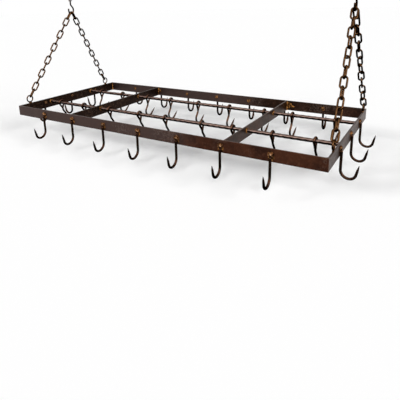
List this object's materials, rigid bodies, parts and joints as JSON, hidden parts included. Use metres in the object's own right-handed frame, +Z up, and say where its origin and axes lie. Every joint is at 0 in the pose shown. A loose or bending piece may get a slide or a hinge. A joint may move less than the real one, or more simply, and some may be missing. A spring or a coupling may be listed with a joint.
{
  "type": "hanging pot rack",
  "caption": "Rectangular hanging rack of flat iron bar with pointed hooks all round, sliding hooks on two rods, and a pair of chains at each end to ceiling hooks.",
  "frame": {"origin": "in the ceiling plane, midway between the two ceiling screws", "axes": "+X along the rack to its right end, +Y to its rear, +Z up"},
  "size_m": [1.327, 0.652, 0.545],
  "materials": {
    "antiqued_iron": "dark iron rubbed with copper, satin",
    "blackened_steel": "blackened steel with worn copper edges",
    "braze": "copper-gold brazing, uneven"
  },
  "bodies": {
    "ceiling_hooks": {"left_ceiling_hook": "blackened_steel", "right_ceiling_hook": "blackened_steel"},
    "left_top_links": {"left_top_links": "blackened_steel"},
    "right_top_links": {"right_top_links": "blackened_steel"},
    "left_chains": {"left_front_chain": "blackened_steel", "left_rear_chain": "blackened_steel"},
    "right_chains": {"right_front_chain": "blackened_steel", "right_rear_chain": "blackened_steel"},
    "rack": {"front_rail": "antiqued_iron", "rear_rail": "antiqued_iron", "left_end_bar": "antiqued_iron", "right_end_bar": "antiqued_iron", "left_cross_bar": "antiqued_iron", "right_cross_bar": "antiqued_iron", "front_rod": "antiqued_iron", "rear_rod": "antiqued_iron", "front_hook_1": "antiqued_iron", "front_hook_2": "antiqued_iron", "front_hook_3": "antiqued_iron", "front_hook_4": "antiqued_iron", "front_hook_5": "antiqued_iron", "front_hook_6": "antiqued_iron", "front_hook_7": "antiqued_iron", "rear_hook_1": "antiqued_iron", "rear_hook_2": "antiqued_iron", "rear_hook_3": "antiqued_iron", "rear_hook_4": "antiqued_iron", "rear_hook_5": "antiqued_iron", "rear_hook_6": "antiqued_iron", "rear_hook_7": "antiqued_iron", "left_hook_1": "antiqued_iron", "left_hook_2": "antiqued_iron", "left_hook_3": "antiqued_iron", "right_hook_1": "antiqued_iron", "right_hook_2": "antiqued_iron", "right_hook_3": "antiqued_iron", "hook_rivets": "antiqued_iron", "hook_brazes": "braze", "frame_brazes": "braze", "rod_brazes": "braze", "chain_rings": "blackened_steel"},
    "front_rod_hook_1": {"front_rod_hook_1": "antiqued_iron"},
    "front_rod_hook_2": {"front_rod_hook_2": "antiqued_iron"},
    "front_rod_hook_3": {"front_rod_hook_3": "antiqued_iron"},
    "front_rod_hook_4": {"front_rod_hook_4": "antiqued_iron"},
    "front_rod_hook_5": {"front_rod_hook_5": "antiqued_iron"},
    "front_rod_hook_6": {"front_rod_hook_6": "antiqued_iron"},
    "front_rod_hook_7": {"front_rod_hook_7": "antiqued_iron"},
    "front_rod_hook_8": {"front_rod_hook_8": "antiqued_iron"},
    "front_rod_hook_9": {"front_rod_hook_9": "antiqued_iron"},
    "rear_rod_hook_1": {"rear_rod_hook_1": "antiqued_iron"},
    "rear_rod_hook_2": {"rear_rod_hook_2": "antiqued_iron"},
    "rear_rod_hook_3": {"rear_rod_hook_3": "antiqued_iron"},
    "rear_rod_hook_4": {"rear_rod_hook_4": "antiqued_iron"},
    "rear_rod_hook_5": {"rear_rod_hook_5": "antiqued_iron"},
    "rear_rod_hook_6": {"rear_rod_hook_6": "antiqued_iron"},
    "rear_rod_hook_7": {"rear_rod_hook_7": "antiqued_iron"},
    "rear_rod_hook_8": {"rear_rod_hook_8": "antiqued_iron"},
    "rear_rod_hook_9": {"rear_rod_hook_9": "antiqued_iron"}
  },
  "joints": [
    {"name": "front_rear_swing", "type": "hinge", "parent": "ceiling_hooks", "child": "left_top_links", "pos_m": [-0.57685, 0, -0.04225], "axis": [1, 0, 0], "range_deg": [-12, 12]},
    {"name": "front_rear_swing_right", "type": "hinge", "parent": "ceiling_hooks", "child": "right_top_links", "pos_m": [0.57685, 0, -0.04225], "axis": [1, 0, 0], "range_deg": [-12, 12]},
    {"name": "end_to_end_swing", "type": "hinge", "parent": "left_top_links", "child": "left_chains", "pos_m": [-0.58032, 0, -0.07546], "axis": [0, 1, 0], "range_deg": [-8, 8]},
    {"name": "end_to_end_swing_right", "type": "hinge", "parent": "right_top_links", "child": "right_chains", "pos_m": [0.57764, 0, -0.07564], "axis": [0, 1, 0], "range_deg": [-8, 8]},
    {"name": "rack_stays_level", "type": "hinge", "parent": "left_chains", "child": "rack", "pos_m": [-0.62715, 0, -0.3787], "axis": [0, 1, 0], "range_deg": [-8, 8]},
    {"name": "front_rod_hook_1_slide", "type": "slide", "parent": "rack", "child": "front_rod_hook_1", "axis": [1, 0, 0], "range_m": [-0.052, 0.061]},
    {"name": "front_rod_hook_2_slide", "type": "slide", "parent": "rack", "child": "front_rod_hook_2", "axis": [1, 0, 0], "range_m": [-0.061, 0.0775]},
    {"name": "front_rod_hook_3_slide", "type": "slide", "parent": "rack", "child": "front_rod_hook_3", "axis": [1, 0, 0], "range_m": [-0.0335, 0.0685]},
    {"name": "front_rod_hook_4_slide", "type": "slide", "parent": "rack", "child": "front_rod_hook_4", "axis": [1, 0, 0], "range_m": [-0.0685, 0.053]},
    {"name": "front_rod_hook_5_slide", "type": "slide", "parent": "rack", "child": "front_rod_hook_5", "axis": [1, 0, 0], "range_m": [-0.053, 0.0695]},
    {"name": "front_rod_hook_6_slide", "type": "slide", "parent": "rack", "child": "front_rod_hook_6", "axis": [1, 0, 0], "range_m": [-0.0695, 0.0525]},
    {"name": "front_rod_hook_7_slide", "type": "slide", "parent": "rack", "child": "front_rod_hook_7", "axis": [1, 0, 0], "range_m": [-0.0525, 0.0325]},
    {"name": "front_rod_hook_8_slide", "type": "slide", "parent": "rack", "child": "front_rod_hook_8", "axis": [1, 0, 0], "range_m": [-0.0735, 0.05949]},
    {"name": "front_rod_hook_9_slide", "type": "slide", "parent": "rack", "child": "front_rod_hook_9", "axis": [1, 0, 0], "range_m": [-0.05949, 0.05901]},
    {"name": "rear_rod_hook_1_slide", "type": "slide", "parent": "rack", "child": "rear_rod_hook_1", "axis": [1, 0, 0], "range_m": [-0.05999, 0.05801]},
    {"name": "rear_rod_hook_2_slide", "type": "slide", "parent": "rack", "child": "rear_rod_hook_2", "axis": [1, 0, 0], "range_m": [-0.05801, 0.07549]},
    {"name": "rear_rod_hook_3_slide", "type": "slide", "parent": "rack", "child": "rear_rod_hook_3", "axis": [1, 0, 0], "range_m": [-0.0415, 0.055]},
    {"name": "rear_rod_hook_4_slide", "type": "slide", "parent": "rack", "child": "rear_rod_hook_4", "axis": [1, 0, 0], "range_m": [-0.055, 0.0615]},
    {"name": "rear_rod_hook_5_slide", "type": "slide", "parent": "rack", "child": "rear_rod_hook_5", "axis": [1, 0, 0], "range_m": [-0.0615, 0.064]},
    {"name": "rear_rod_hook_6_slide", "type": "slide", "parent": "rack", "child": "rear_rod_hook_6", "axis": [1, 0, 0], "range_m": [-0.064, 0.066]},
    {"name": "rear_rod_hook_7_slide", "type": "slide", "parent": "rack", "child": "rear_rod_hook_7", "axis": [1, 0, 0], "range_m": [-0.066, 0.0185]},
    {"name": "rear_rod_hook_8_slide", "type": "slide", "parent": "rack", "child": "rear_rod_hook_8", "axis": [1, 0, 0], "range_m": [-0.0595, 0.068]},
    {"name": "rear_rod_hook_9_slide", "type": "slide", "parent": "rack", "child": "rear_rod_hook_9", "axis": [1, 0, 0], "range_m": [-0.068, 0.05599]}
  ],
  "couplings": [
    {"joint": "front_rear_swing_right", "follows": "front_rear_swing", "ratio": 1},
    {"joint": "end_to_end_swing_right", "follows": "end_to_end_swing", "ratio": 1.0005},
    {"joint": "rack_stays_level", "follows": "end_to_end_swing", "ratio": -0.9528}
  ]
}
